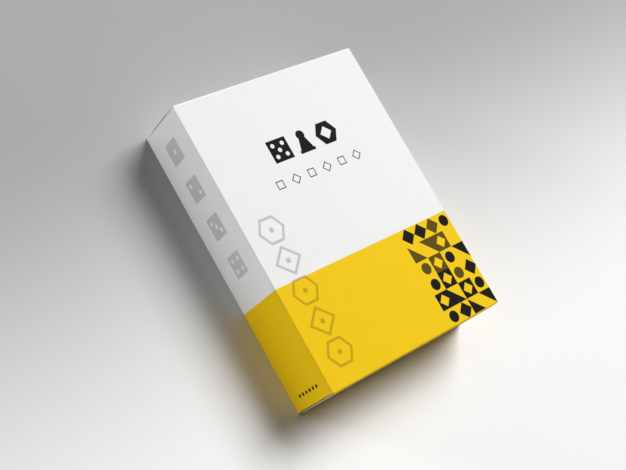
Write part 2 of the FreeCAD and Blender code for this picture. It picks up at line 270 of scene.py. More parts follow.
# %% Shapes as distances
def ink(distance, soft=0.15):
    """1 inside a shape and 0 outside it, with an edge as soft as print has."""
    return (0.5 - distance * (1 / soft)).clamp()


def disc(x, y, radius):
    return (x * x + y * y).root() - radius


def square(x, y, half):
    return abs(x).most(abs(y)) - half


def lozenge(x, y, radius):
    return (abs(x) + abs(y)) * math.sqrt(0.5) - radius


def hexagon(x, y, radius):
    return (abs(x) * math.cos(math.pi / 6) + abs(y) * 0.5).most(abs(y)) - radius


def ring(distance, stroke):
    return abs(distance) - stroke / 2


def rim(x, y, low, high):
    """The distance to a solid's rim as seen from above, less than zero inside it."""
    across = abs(x - (low.x + high.x) / 2) - (high.x - low.x) / 2
    along = abs(y - (low.y + high.y) / 2) - (high.y - low.y) / 2
    return across.most(along)


print("shapes: disc, square, lozenge, hexagon, ring and rim")

# %% [markdown]
# Rows of shapes
#
# A row of like shapes could be drawn one by one. It is cheaper to draw one and to fold the row into cells:
# each point is told which cell it is in, and how far it is from that cell's middle.


# %% Cells of a row
def cell(value, pitch, start):
    """Which cell of a row a point is in, and how far it is from that cell's middle."""
    index = ((value - start) * (1 / pitch)).floor()
    return index, value - start - (index + 0.5) * pitch


def row_end(value, pitch, start, count):
    """The distance to the nearer end of a row of cells, less than zero within it."""
    half = count / 2 * pitch
    return abs(value - (start + half)) - half


def by_turns(index, first, second):
    """The first shape in the even cells of a row, the second in the odd ones."""
    swapped = index.odd()
    return first * (1 - swapped) + second * swapped


print("rows: cell, row_end and by_turns")

# %% [markdown]
# The printed face of the carton
#
# The board is coated white and printed yellow below a level line that runs round all four sides. A satin
# film covers it. Board shows two small things that plain colour lacks: a faint mottle in the ink, and folds
# where the print has rubbed through to paper. The rub is found from the distance to the nearest fold, so no
# paint mask is needed.

# %% Printed board
WHITE = tone(243, 243, 242)
YELLOW = tone(246, 204, 20)
PAPER = tone(236, 232, 222)
BLACK = tone(16, 15, 14)
COLOUR_LINE = -37.2
LINE_SOFT = 0.25
RUB_WIDTH = (0.1, 0.9)
RUB_STRENGTH = 0.2
MOTTLE_STRENGTH = 0.012


def fold_distance(x, y, z):
    """How far a point of the box is from its nearest fold: the middle one of its three distances."""
    to_side = HALF_W - abs(x)
    to_end = HALF_H - abs(y)
    to_face = z.least(DEPTH - z)
    return to_side.least(to_end).most(to_side.most(to_end).least(to_face))


def printed(name, draw=None):
    """Coated board: two inks, an optional design on them, mottle, rubbed folds and a satin film."""
    material, point, (x, y, z) = start_finish(name)
    colour = ink(y - COLOUR_LINE, LINE_SOFT).mix(WHITE, YELLOW)
    if draw:
        colour = draw(colour, (x, y, z))
    mottle = grain(point, 14.0)
    worn_here = grain(point, 1.7, detail=4.0).ramp(0.5, 0.72)
    rub = (1 - fold_distance(x, y, z).ramp(*RUB_WIDTH)) * worn_here
    colour = (rub * RUB_STRENGTH).mix(colour, PAPER)
    colour = (mottle.ramp(0.3, 0.75) * MOTTLE_STRENGTH).mix(colour, BLACK)
    film = grain(point, 0.6, detail=2.0)
    roughness = 0.6 + mottle * 0.08 + rub * 0.2
    return end_finish(material, colour, roughness, film, lift=0.006, Specular_IOR_Level=0.06)


plain_print = printed("plain_print")

# %% [markdown]
# Bold tokens on the cover
#
# High on the cover stand three bold tokens in a row: a die face, a pawn and a six-sided tile. An artist
# would cut them as outlines. Here each is a few plain shapes joined together, with its holes cut out of it.

# %% Die, pawn and tile
TOKEN_STEP = 25.0
TOKEN_HALF = 9.8
PIP = 1.9
PIP_PLACE = 5.0
TILE_HOLE = 4.2
HEAD, HEAD_Y = 4.2, 5.8
BODY_HALF, BODY_TAPER = 4.3, 0.33
BODY_TALL, BODY_Y = 6.0, -2.5
FOOT_HALF = 8.0
FOOT_TALL, FOOT_Y = 1.3, -8.6


def die_token(x, y):
    pips = disc(abs(x) - PIP_PLACE, abs(y) - PIP_PLACE, PIP).least(disc(x, y, PIP))
    return square(x, y, TOKEN_HALF).most(-pips)


def pawn_token(x, y):
    head = disc(x, y - HEAD_Y, HEAD)
    body = (abs(x) - BODY_HALF + y * BODY_TAPER).most(abs(y - BODY_Y) - BODY_TALL)
    foot = (abs(x) - FOOT_HALF).most(abs(y - FOOT_Y) - FOOT_TALL)
    return head.least(body).least(foot)


def tile_token(x, y):
    return hexagon(x, y, TOKEN_HALF).most(-lozenge(x, y, TILE_HOLE))


def bold_tokens(x, y):
    """A die face, a pawn and a six-sided tile in a row."""
    die = die_token(x + TOKEN_STEP, y)
    tile = tile_token(x - TOKEN_STEP, y)
    return ink(die.least(pawn_token(x, y)).least(tile))


print(f"tokens {2 * TOKEN_HALF:.1f} wide, {TOKEN_STEP:.0f} apart")

# %% [markdown]
# Outlines on the cover
#
# Under the tokens is a row of small outlines, and up the left of the cover runs a column of large pale
# ones. Both change their shape by turns. A ring round a distance makes an outline of any shape, so no shape
# is drawn twice.

# %% Small and tall outlines
SMALL_STEP, SMALL_COUNT = 16.6, 6
SMALL_SQUARE, SMALL_LOZENGE = 3.2, 3.0
SMALL_LINE = 0.8
SMALL_BAND = 6.0
TALL_STEP, TALL_COUNT = 26.8, 5
TALL_X, TALL_START = -70.7, -114.5
TALL_HEXAGON, TALL_LOZENGE = 10.2, 8.2
TALL_LINE = 2.2
TALL_DOT, TALL_SQUARE = 2.2, 2.0
TALL_BAND = 14.0


def small_outlines(x, y):
    """Six thin outlines, square and lozenge by turns."""
    start = -SMALL_COUNT / 2 * SMALL_STEP
    index, across = cell(x, SMALL_STEP, start)
    shape = by_turns(index, square(across, y, SMALL_SQUARE), lozenge(across, y, SMALL_LOZENGE))
    row = row_end(x, SMALL_STEP, start, SMALL_COUNT).most(abs(y) - SMALL_BAND)
    return ink(ring(shape, SMALL_LINE).most(row))


def tall_outlines(x, y):
    """Five large outlines up the left of the cover, six-sided and pointed by turns."""
    across = x - TALL_X
    index, along = cell(y, TALL_STEP, TALL_START)
    six_sided = ring(hexagon(across, along, TALL_HEXAGON), TALL_LINE).least(disc(across, along, TALL_DOT))
    pointed = ring(lozenge(across, along, TALL_LOZENGE), TALL_LINE).least(square(across, along, TALL_SQUARE))
    column = row_end(y, TALL_STEP, TALL_START, TALL_COUNT).most(abs(across) - TALL_BAND)
    return ink(by_turns(index, six_sided, pointed).most(column))


print(SMALL_COUNT, "small outlines and", TALL_COUNT, "tall ones")

# %% [markdown]
# Tiles in the cover's corner
#
# The lower right corner has a block of small black and olive tiles. Each could be placed by hand. Here a
# fixed random number for each cell picks its shape, and a second one its ink, so the block looks laid by
# chance and still comes out the same each time.

# %% Block of tiles
OLIVE = tone(92, 76, 12)
TILE_W, TILE_H = 14.25, 14.98
COLUMNS, ROWS = 4, 6
BLOCK_LEFT = HALF_W - COLUMNS * TILE_W
BLOCK_TOP = ROWS * TILE_H - HALF_H
TILE_SOFT = 0.012
SHAPE_KEY = (11.0, 5.0)
INK_KEY = (40.0, 23.0)
EMPTY_SHARE = 0.1
OLIVE_SHARE = 0.42


def tile_number(column, row, key):
    """A random number from 0 to 1 for each tile, set by the key."""
    seat = column.add("ShaderNodeCombineXYZ", inputs={"X": column + key[0], "Y": row + key[1]})
    return seat.add("ShaderNodeTexWhiteNoise", {"noise_dimensions": "2D"}, {"Vector": seat})


def tile_block(x, y):
    """Masks for the black and the olive tiles of the corner block, drawn as shares of a tile."""
    column, across = cell(x, TILE_W, BLOCK_LEFT)
    row, along = cell(y, TILE_H, -HALF_H)
    across = across * (1 / TILE_W)
    along = along * (1 / TILE_H)
    half = ink(across + along, TILE_SOFT)
    pip = ink(disc(across, along, 0.34), TILE_SOFT)
    framed = ink(square(across, along, 0.6).most(-lozenge(across, along, 0.26)), TILE_SOFT)
    pointed = ink(lozenge(across, along, 0.35), TILE_SOFT)
    pick = tile_number(column, row, SHAPE_KEY)
    tiles = half
    for level, shape in ((0.3, pip), (0.45, framed), (0.68, pointed), (0.82, 1 - half)):
        chosen = pick.above(level)
        tiles = tiles * (1 - chosen) + shape * chosen
    inside = ink((BLOCK_LEFT - x).most(y - BLOCK_TOP))
    shown = tiles * inside * pick.above(EMPTY_SHARE)
    black = tile_number(column, row, INK_KEY).above(OLIVE_SHARE)
    return shown * black, shown * (1 - black)


print(f"{COLUMNS} x {ROWS} tiles, {TILE_W} x {TILE_H} each")

# %% [markdown]
# The whole cover
#
# A press lays one ink over another, and so does this cell: the pale outlines first, then the olive tiles,
# and black last of all. The design is a function, so that the same board finish can carry it or go without.

# %% Cover print
TOKENS_Y = 63.5
SMALL_Y = 36.5
PALE_INK = 0.36


def cover_design(colour, place):
    x, y, _ = place
    black, olive = tile_block(x, y)
    bold = bold_tokens(x, y - TOKENS_Y).most(small_outlines(x, y - SMALL_Y))
    colour = (tall_outlines(x, y) * PALE_INK).mix(colour, BLACK)
    colour = olive.mix(colour, OLIVE)
    return black.most(bold).mix(colour, BLACK)


cover_print = printed("cover_print", cover_design)

# %% [markdown]
# The design on the left side
#
# The side has four pale grey die faces, from one pip to four, and a short row of dark dots near its foot.
# Pips are cut from a face with a minus sign on their distance. A comparison on the cell's number adds the
# pairs: where a pip isn't wanted, its distance is made so large that it cuts nothing.

# %% Side print
GREY = tone(204, 204, 204)
FACE_STEP, FACE_COUNT = 34.3, 4
FACE_START = -117.0
FACE_HALF = 9.4
FACE_PIP, FACE_PIP_PLACE = 1.9, 6.2
NOWHERE = 99.0
DOT, DOT_STEP, DOT_COUNT = 1.5, 5.4, 6
DOTS_Y = -115.0


def die_faces(y, z):
    """Four die faces down the side, counted from the top."""
    index, along = cell(-y, FACE_STEP, FACE_START)
    across = z - DEPTH / 2
    falling = (along + across) * math.sqrt(0.5)
    rising = (along - across) * math.sqrt(0.5)
    middle = disc(along, across, FACE_PIP) + index.odd() * NOWHERE
    pair = disc(abs(falling) - FACE_PIP_PLACE, rising, FACE_PIP) + (1 - index.above(0.5)) * NOWHERE
    other = disc(abs(rising) - FACE_PIP_PLACE, falling, FACE_PIP) + (1 - index.above(2.5)) * NOWHERE
    face = square(along, across, FACE_HALF).most(-middle.least(pair).least(other))
    return ink(face.most(row_end(-y, FACE_STEP, FACE_START, FACE_COUNT)))


def foot_dots(y, z):
    """A row of six dots across the foot of the side."""
    start = DEPTH / 2 - DOT_COUNT / 2 * DOT_STEP
    _, across = cell(z, DOT_STEP, start)
    return ink(disc(across, y - DOTS_Y, DOT).most(row_end(z, DOT_STEP, start, DOT_COUNT)))


def side_design(colour, place):
    _, y, z = place
    colour = die_faces(y, z).mix(colour, GREY)
    return foot_dots(y, z).mix(colour, BLACK)


side_print = printed("side_print", side_design)

# %% [markdown]
# The inside and the raw edge
#
# The back of the sheet is uncoated: duller, a little grey, with fine fibres both ways. Where the sheet was
# cut, its layers show as a duller line. Both are stretched noise, because fibres are long and thin.

# %% Uncoated board
board_inside, point, _ = start_finish("board_inside")
fibre = crossed_grain(point, (6.0, 0.25, 0.25), (0.25, 6.0, 0.25))
tint = fibre.ramp(0.35, 0.68).mix(tone(214, 209, 198), tone(233, 229, 220))
end_finish(board_inside, tint, 0.8 + fibre * 0.12, fibre, lift=0.02)

board_edge, point, _ = start_finish("board_edge")
layers = crossed_grain(point, (3.0, 3.0, 0.2), (0.2, 3.0, 3.0))
tint = layers.ramp(0.35, 0.65).mix(tone(186, 182, 174), tone(220, 217, 210))
end_finish(board_edge, tint, 0.85 + layers * 0.1, layers, lift=0.03)

# %% [markdown]
# Sections of board
#
# A folded panel is a section in one plane, run straight along an axis. Board has two lines in its section,
# an outer and an inner one, and at a crease both are arcs about one middle. The board's thickness and the
# radius of a crease are stated here, because a box round a solid doesn't show them.

# %% Arcs and axes
CALIPER = 0.8
CREASE = 1.0
INNER = CREASE - CALIPER


def arc(middle, radius, first, last, steps=8):
    """Points on an arc, with its angles in degrees."""
    turns = [math.radians(first + (last - first) * step / steps) for step in range(steps + 1)]
    return [(middle[0] + radius * math.cos(turn), middle[1] + radius * math.sin(turn)) for turn in turns]


def fold_lines(middle, first, last):
    """The outer and the inner line of a crease."""
    return [arc(middle, radius, first, last) for radius in (CREASE, INNER)]


def along_x(a, b, level):
    return (level, a, b)


def along_y(a, b, level):
    return (a, level, b)


def along_z(a, b, level):
    return (a, b, level)


print(f"board {CALIPER} thick, creased to a radius of {CREASE}")

# %% [markdown]
# Strips and plates
#
# A bevel on a cube could round a fold, but then its faces and its thickness couldn't be told apart. So a
# strip is drawn between the two lines of its section, and a plate between two copies of a flat outline. The
# printed face, the inside and the cut edges each get a number of their own, which later picks their finish.

# %% Drawing board
PRINTED_FACE, INSIDE_FACE, CUT_EDGE = 0, 1, 2


def strip(outer, inner, low, high, axis):
    """A run of board between the outer and the inner line of its section."""
    shell = bmesh.new()
    rows = [[[shell.verts.new(Vector(axis(a, b, level)) * MM) for a, b in line] for line in (outer, inner)]
            for level in (low, high)]
    (outer_low, inner_low), (outer_high, inner_high) = rows
    sheets = ((outer_low, outer_high, PRINTED_FACE), (inner_low, inner_high, INSIDE_FACE),
              (outer_low, inner_low, CUT_EDGE), (outer_high, inner_high, CUT_EDGE))
    for first, second, number in sheets:
        for step in range(len(first) - 1):
            quad = (first[step], first[step + 1], second[step + 1], second[step])
            shell.faces.new(quad).material_index = number
    for end in (0, -1):
        quad = (outer_low[end], outer_high[end], inner_high[end], inner_low[end])
        shell.faces.new(quad).material_index = CUT_EDGE
    return shell


def plate(outline, thickness, to_space):
    """A flat piece: an outline on its printed face, and the same one a thickness away on its inside."""
    shell = bmesh.new()
    faces = [[shell.verts.new(Vector(to_space(a, b, level)) * MM) for a, b in outline]
             for level in (0.0, thickness)]
    for number, corners in zip((PRINTED_FACE, INSIDE_FACE), faces):
        shell.faces.new(corners).material_index = number
    for step in range(len(outline)):
        quad = (faces[0][step - 1], faces[0][step], faces[1][step], faces[1][step - 1])
        shell.faces.new(quad).material_index = CUT_EDGE
    return shell


print("finish", PRINTED_FACE, "is the printed face,", INSIDE_FACE, "the inside and", CUT_EDGE, "a cut edge")

# %% [markdown]
# From a drawing to a piece
#
# A drawn shell becomes an object with three finishes. It is shaded smooth over a crease and sharp at a cut,
# as board is. Each piece then says what it moves with and which solid it stands for, so that the part can
# still be opened.

# %% Pieces and what they ride on
SHARP_ANGLE = math.radians(40)
PLAIN_BOARD = (plain_print, board_inside, board_edge)


def piece_from(shell, name, finishes):
    """Turns drawn board into an object, smooth over a crease and sharp at a cut."""
    bmesh.ops.recalc_face_normals(shell, faces=shell.faces)
    mesh = bpy.data.meshes.new(name)
    shell.to_mesh(mesh)
    shell.free()
    for finish in finishes:
        mesh.materials.append(finish)
    mesh.polygons.foreach_set("use_smooth", [True] * len(mesh.polygons))
    mesh.set_sharp_from_angle(angle=SHARP_ANGLE)
    piece = bpy.data.objects.new(name, mesh)
    bpy.context.scene.collection.objects.link(piece)
    return piece


def settle(piece, body, slot, *nodes):
    """Says what the piece moves with and which solids it stands for. The slot is not used."""
    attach(piece, body)
    if nodes:
        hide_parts(*nodes)
    print(piece.name, len(piece.data.polygons), "faces on", body)


print(f"edges of more than {math.degrees(SHARP_ANGLE):.0f} degrees stay sharp")

# %% [markdown]
# Cover and back
#
# Cover, back and the two side panels are one tube of board, closed by a glue flap inside the back right
# edge. It could be drawn as one ring, but as separate sheets each panel carries its own print and stands for
# its own solid. The cover brings its two long creases with it, and the back brings the one on the left. On
# the right the back ends in a raw edge over the glue flap, as the seam of a carton does.

# %% Cover and back
HINGE = DEPTH - CREASE
seam = reach("back_panel")[1].x


def cover_line(radius):
    """One line of the cover's section, from crease to crease."""
    return arc((CREASE - HALF_W, HINGE), radius, 180, 90) + arc((HALF_W - CREASE, HINGE), radius, 90, 0)


def back_line(radius):
    """One line of the back's section, from its crease to the seam."""
    return arc((CREASE - HALF_W, CREASE), radius, 180, 270) + [(seam, CREASE - radius)]


shell = strip(cover_line(CREASE), cover_line(INNER), CREASE - HALF_H, HALF_H - CREASE, along_y)
cover = piece_from(shell, "cover_sheet", (cover_print, board_inside, board_edge))
settle(cover, "sleeve", "carton_board", "front_panel")

shell = strip(back_line(CREASE), back_line(INNER), -HALF_H, HALF_H, along_y)
settle(piece_from(shell, "back_sheet", PLAIN_BOARD), "sleeve", "carton_board", "back_panel")

# %% [markdown]
# Side panels
#
# A side panel is flat from the cover's crease to the back's. At each end it runs on into a dust flap, which
# is narrower than the panel. On a real blank the die cuts the panel square above and below that fold, so
# the panel is a plate with a notch at each end, and the bending crease fills the notch.

# %% Side panels
SIDE_END = reach("left_panel")[1].y


def side_sheet(name, side, node, finish):
    """A side panel: its ends stop at the dust flaps' folds, and are cut square above and below them."""
    low, high = (corner.z for corner in reach(node))
    flap_low, flap_high = (corner.z for corner in reach("top_left_dust_flap"))
    fold = SIDE_END - CREASE
    top_end = [(SIDE_END, low), (SIDE_END, flap_low), (fold, flap_low),
               (fold, flap_high), (SIDE_END, flap_high), (SIDE_END, high)]
    outline = top_end + [(-y, z) for y, z in reversed(top_end)]
    shell = plate(outline, CALIPER, lambda y, z, level: ((HALF_W - level) * side, y, z))
    settle(piece_from(shell, name, (finish, board_inside, board_edge)), "sleeve", "carton_board", node)


side_sheet("left_side_sheet", -1, "left_panel", side_print)
side_sheet("right_side_sheet", 1, "right_panel", plain_print)

# %% [markdown]
# Lids
#
# Each end closes with a lid that bows out a little, because the flaps behind it push. The photo shows a
# slit over the side panel at the top and none at the bottom, so the bottom lid is drawn nearly flat. A lid
# is a strip with a curved section. An arc would do, but a parabola is set by its height alone, so no radius
# has to be worked out.

# %% Lids
ENDS = (("top", 1), ("bottom", -1))
LID_HALF = reach("top_lid")[1].x
TUCK_LEVEL = reach("top_lid")[0].z + CREASE
CROWNS = {"top": reach("top_lid")[1].y - HALF_H, "bottom": 0.15}
LID_STEPS = 20


def lid_sheet(name, end):
    middle = (HINGE + TUCK_LEVEL) / 2
    half = (HINGE - TUCK_LEVEL) / 2
    heights = [HINGE - 2 * half * step / LID_STEPS for step in range(LID_STEPS + 1)]
    bow = [HALF_H + CROWNS[name] * (1 - ((height - middle) / half) ** 2) for height in heights]
    outer = [(y * end, z) for y, z in zip(bow, heights)]
    inner = [((y - CALIPER) * end, z) for y, z in zip(bow, heights)]
    shell = strip(outer, inner, -LID_HALF, LID_HALF, along_x)
    settle(piece_from(shell, f"{name}_lid_sheet", PLAIN_BOARD), f"{name}_lid", "carton_board", f"{name}_lid")
    print(f"{name} lid bows out by {CROWNS[name]:.2f}")


for name, end in ENDS:
    lid_sheet(name, end)


# %% [markdown]
# Tuck flaps
#
# The tuck flap on a lid's free edge slides in along the back panel and holds the lid shut. Its corners are
# round, so that it finds its way in, and it leans off the back. It is flat, so it is an outline with a
# thickness. A Bevel modifier would round its cut edges too, so the two corners are rounded in the outline.


# %% Tuck flaps
def round_corner(before, corner, after, radius, steps=6):
    """Points that round one corner of an outline."""
    corner = Vector(corner)
    to_before = (Vector(before) - corner).normalized()
    to_after = (Vector(after) - corner).normalized()
    half = to_before.angle(to_after) / 2
    middle = corner + (to_before + to_after).normalized() * (radius / math.sin(half))
    first = corner + to_before * (radius / math.tan(half)) - middle
    last = corner + to_after * (radius / math.tan(half)) - middle
    return [tuple(middle + first.slerp(last, step / steps)) for step in range(steps + 1)]


TUCK_ANGLE = math.radians(15)
TUCK_LENGTH = 16.0
TUCK_CORNER = 13.0
LEAN_COS, LEAN_SIN = math.cos(TUCK_ANGLE), math.sin(TUCK_ANGLE)
tuck_root = (HALF_H - CREASE - CREASE * LEAN_SIN, TUCK_LEVEL - CREASE * LEAN_COS)


def tuck_sheet(name, end):
    node = f"{name}_tuck_flap"
    side = reach(node)[1].x

    def leaning(across, inwards, level):
        y = tuck_root[0] - inwards * LEAN_COS + level * LEAN_SIN
        return (across, y * end, tuck_root[1] + inwards * LEAN_SIN + level * LEAN_COS)

    corners = [(side, 0.0), (side, TUCK_LENGTH), (-side, TUCK_LENGTH), (-side, 0.0)]
    outline = [corners[0], *round_corner(*corners[:3], TUCK_CORNER, 10),
               *round_corner(*corners[1:], TUCK_CORNER, 10), corners[3]]
    shell = plate(outline, CALIPER, leaning)
    settle(piece_from(shell, f"{name}_tuck_sheet", PLAIN_BOARD), node, "carton_board", node)


for name, end in ENDS:
    tuck_sheet(name, end)

# %% [markdown]
# Dust flaps
#
# Behind each lid two dust flaps fold in from the side panels. They taper towards their free ends, more on
# the cover's side, so that the lid folds over them without catching. Like the tuck flap, each is an outline
# with a thickness.

# %% Dust flaps
HANDS = (("left", -1), ("right", 1))
DUST_CORNER = 5.0
DUST_SLOPE_LOW, DUST_SLOPE_HIGH = 3.0, 22.0


def dust_sheet(name, hand, end, side):
    node = f"{name}_{hand}_dust_flap"
    low, high = reach(node)
    root = (HALF_W - CREASE) * side
    free = low.x if side > 0 else high.x
    corners = [(root, low.z), (free, low.z + DUST_SLOPE_LOW),
               (free, high.z - DUST_SLOPE_HIGH), (root, high.z)]
    outline = [corners[0], *round_corner(*corners[:3], DUST_CORNER),
               *round_corner(*corners[1:], DUST_CORNER), corners[3]]
    shell = plate(outline, CALIPER, lambda across, height, level: (across, (SIDE_END - level) * end, height))
    settle(piece_from(shell, f"{name}_{hand}_dust_sheet", PLAIN_BOARD), node, "carton_board", node)


for name, end in ENDS:
    for hand, side in HANDS:
        dust_sheet(name, hand, end, side)


# %% [markdown] Round creases Board doesn't part at a fold: the fibres turn. A hinge between two stiff
# pieces would leave a notch there when a lid opens. These crease strips are drawn in place and don't follow
# the pieces they lie between.


# %% Round creases
def crease_strip(name, fold, low, high, axis, bodies):
    piece = piece_from(strip(*fold, low, high, axis), name, PLAIN_BOARD)
    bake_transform(piece)
    print(piece.name, "bends between", *bodies)


for name, end in ENDS:
    facing = 90 - 90 * end
    middle = ((HALF_H - CREASE) * end, HINGE)
    crease_strip(f"{name}_lid_crease", fold_lines(middle, 90, facing), CREASE - HALF_W, HALF_W - CREASE,
                 along_x, ("sleeve", f"{name}_lid"))
    middle = ((HALF_H - CREASE) * end, TUCK_LEVEL)
    tucked = facing - (90 + math.degrees(TUCK_ANGLE)) * end
    crease_strip(f"{name}_tuck_crease", fold_lines(middle, facing, tucked), -LID_HALF, LID_HALF,
                 along_x, (f"{name}_lid", f"{name}_tuck_flap"))
    for hand, side in HANDS:
        node = f"{name}_{hand}_dust_flap"
        low, high = (corner.z for corner in reach(node))
        middle = ((HALF_W - CREASE) * side, (SIDE_END - CREASE) * end)
        outward = 90 - 90 * side
        crease_strip(f"{name}_{hand}_dust_crease", fold_lines(middle, outward, outward + 90 * side * end),
                     low, high, along_z, ("sleeve", node))


# %% [markdown]
# Finishes for what keeps its solid
#
# The glue flap, the insert, the game board, the pawns and the dice already have the right shape, so they
# keep their solids and only get a finish. A helper puts it on every slot of a solid.


# %% Dressing a solid
def dress(finish, *nodes):
    for node in nodes:
        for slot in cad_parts[node].material_slots:
            slot.material = finish
    print(finish.name, "on", ", ".join(nodes))


dress(board_inside, "glue_flap")

# %% [markdown]
# The insert
#
# The tray is brown board made from old fibre: unbleached, matt, with flecks of darker and paler fibre and a
# faint rib from the paper machine. A picture of board would show where it repeats, so noises at different
# sizes give the cloud, the fibres and the flecks.

# %% Kraft board
RIB_PITCH = 1.6
kraft, point, (x, _, _) = start_finish("kraft_board")
cloud = grain(point, 24.0)
fibre = crossed_grain(point, (5.0, 0.3, 0.3), (0.3, 5.0, 0.3))
fleck = grain(point, 1.1, detail=1.0)
tint = cloud.ramp(0.3, 0.7).mix(tone(160, 124, 84), tone(181, 145, 102))
tint = (fibre.ramp(0.42, 0.7) * 0.5).mix(tint, tone(206, 175, 134))
tint = (fleck.ramp(0.68, 0.76) * 0.6).mix(tint, tone(98, 72, 46))
end_finish(kraft, tint, 0.82 + fibre * 0.1, fibre + x.wave(RIB_PITCH) * 0.15, lift=0.04)
dress(kraft, *[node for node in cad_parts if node.startswith("insert_")])

# %% [markdown]
# The game board's leaves
#
# The board folds in two with its play side inside. Its back is paper with a linen emboss, and the play side
# has a grid of fields that stops a little short of the rim. The level in the stack tells the shader which
# side it is on, so one finish serves both leaves.

# %% Leaves of the game board
FIELD = 20.0
FIELD_LINE = 0.5
PLAY_MARGIN = 1.5
PLAY_DEPTH = 0.2
LINEN_PITCH = 0.9
leaf_paper, point, (x, y, z) = start_finish("leaf_paper")
low, high = reach("game_board_lower_leaf")
fold_level = (high.z + reach("game_board_upper_leaf")[0].z) / 2
play_side = ink(abs(z - fold_level) - PLAY_DEPTH, soft=0.05) * ink(rim(x, y, low, high) + PLAY_MARGIN)
column, across = cell(x, FIELD, 0.0)
row, along = cell(y, FIELD, 0.0)
chequer = (column + row).odd().mix(tone(240, 238, 230), tone(238, 196, 30))
lines = 1 - ink(square(across, along, FIELD / 2 - FIELD_LINE))
fields = lines.mix(chequer, tone(40, 38, 34))
mottle = grain(point, 9.0)
back_paper = mottle.ramp(0.3, 0.7).mix(tone(52, 50, 44), tone(66, 63, 55))
linen = x.wave(LINEN_PITCH) * y.wave(LINEN_PITCH)
end_finish(leaf_paper, play_side.mix(back_paper, fields), 0.55 + mottle * 0.15, linen, lift=0.03)
dress(leaf_paper, "game_board_lower_leaf", "game_board_upper_leaf")

# %% [markdown]
# The game board's hinge
#
# A strip of black book cloth joins the two leaves. Two waves at right angles, multiplied, give the bumps of
# a plain weave without an image, and a stretched noise gives the thicker threads. The weave's bumps also
# set the colour, lighter on top of the threads and darker between them: painted light and shade of the weave.

# %% Book cloth
THREAD_PITCH = 0.5
book_cloth, point, (x, y, z) = start_finish("book_cloth")
weave_and_shade = x.wave(THREAD_PITCH) * (y + z).wave(THREAD_PITCH)
slub = grain(point, (4.0, 0.4, 0.4))
# Painted shade: the colour darkens where the weave is low and lightens where it is high.
tint = (weave_and_shade * 0.25 + slub * 0.6).clamp().mix(tone(20, 20, 20), tone(58, 56, 52))
end_finish(book_cloth, tint, 0.85 + slub * 0.1, weave_and_shade, lift=0.06)
dress(book_cloth, "game_board_hinge_tape")

# %% [markdown]
# Stacks of cards, leaves and staples
#
# A deck is a pile of cards that never lie quite true. Geometry Nodes repeat what repeats: one tree takes a
# piece, a count, a step and a slip, puts a copy at each step, moves it a little at random with a fixed
# seed, and makes the copies real. The same tree makes the decks, the leaves of the booklet and its staples.

# %% A tree that stacks
STACK_INPUTS = (("Piece", "Geometry"), ("Count", "Int"), ("Step", "Vector"), ("Slip", "Vector"),
                ("Seed", "Int"), ("Finish", "Material"))


def stacking_tree():
    tree = bpy.data.node_groups.new("stack", "GeometryNodeTree")
    for label, kind in STACK_INPUTS:
        tree.interface.new_socket(label, in_out="INPUT", socket_type=f"NodeSocket{kind}")
    tree.interface.new_socket("Stack", in_out="OUTPUT", socket_type="NodeSocketGeometry")
    base = Wire(tree)
    given = {label: base.add("NodeGroupInput", result=label) for label, _ in STACK_INPUTS}
    line = base.add("GeometryNodeMeshLine", {"mode": "OFFSET"},
                    {"Count": given["Count"], "Offset": given["Step"]})
    back = base.add("ShaderNodeVectorMath", {"operation": "SCALE"}, {"Vector": given["Slip"], "Scale": -1.0})
    slip = base.add("FunctionNodeRandomValue", {"data_type": "FLOAT_VECTOR"},
                    {"Min": back, "Max": given["Slip"], "Seed": given["Seed"]})
    loose = base.add("GeometryNodeSetPosition", inputs={"Geometry": line, "Offset": slip})
    copies = base.add("GeometryNodeInstanceOnPoints", inputs={"Points": loose, "Instance": given["Piece"]})
    real = base.add("GeometryNodeRealizeInstances", inputs={"Geometry": copies})
    done = base.add("GeometryNodeSetMaterial", inputs={"Geometry": real, "Material": given["Finish"]})
    tree.links.new(done.socket, tree.nodes.new("NodeGroupOutput").inputs["Stack"])
    return tree


stack_tree = stacking_tree()
print("stacking tree with", len(stack_tree.nodes), "nodes")


# %% [markdown]
# Running the tree
#
# The tree runs as a modifier on one card or leaf. The finished part has to hold plain meshes, so the result
# is copied out and the modifier taken off. An input is set by its socket's identifier, because its name is
# only a label.


# %% Stacking a piece
def stack(piece, finish, count, step, slip, seed):
    """Repeats a piece by the tree, and leaves a plain mesh behind."""
    modifier = piece.modifiers.new("stack", "NODES")
    modifier.node_group = stack_tree
    values = {"Count": count, "Step": [value * MM for value in step], "Slip": [value * MM for value in slip],
              "Seed": seed, "Finish": finish}
    for item in stack_tree.interface.items_tree:
        if item.name in values:
            modifier[item.identifier] = values[item.name]
    bpy.context.view_layer.update()
    graph = bpy.context.evaluated_depsgraph_get()
    mesh = bpy.data.meshes.new_from_object(piece.evaluated_get(graph), depsgraph=graph)
    piece.modifiers.clear()
    piece.data = mesh
    mesh.name = piece.name
    print(piece.name, "stacked from", count)
    return piece


print("a stack takes", ", ".join(label for label, _ in STACK_INPUTS))

# %% [markdown]
# The backs of the cards
#
# A card's back has a lattice of lozenges in a white border, and its edges are white. Only the top card
# shows its back, so the shader inks what lies above a level. The two decks mirror each other, so one border
# serves both.

# %% Card finish
CARD_BORDER = 4.0
LATTICE = 5.0
LATTICE_LOZENGE, LATTICE_LINE = 1.6, 0.5
TOP_CARD = 0.1
card_paper, point, (x, y, z) = start_finish("card_paper")
low, high = reach("card_deck_left")
_, across = cell(x, LATTICE, 0.0)
_, along = cell(y, LATTICE, 0.0)
inked = ink(rim(-abs(x), y, low, high) + CARD_BORDER) * z.above(high.z - TOP_CARD)
lattice = ink(ring(lozenge(across, along, LATTICE_LOZENGE), LATTICE_LINE)) * inked
tint = inked.mix(tone(238, 236, 228), tone(240, 198, 28))
tint = lattice.mix(tint, tone(44, 42, 36))
speck = grain(point, 0.8)
tint = (speck.ramp(0.5, 0.8) * 0.08).mix(tint, tone(150, 140, 120))
end_finish(card_paper, tint, 0.35 + speck * 0.15, speck, lift=0.008)

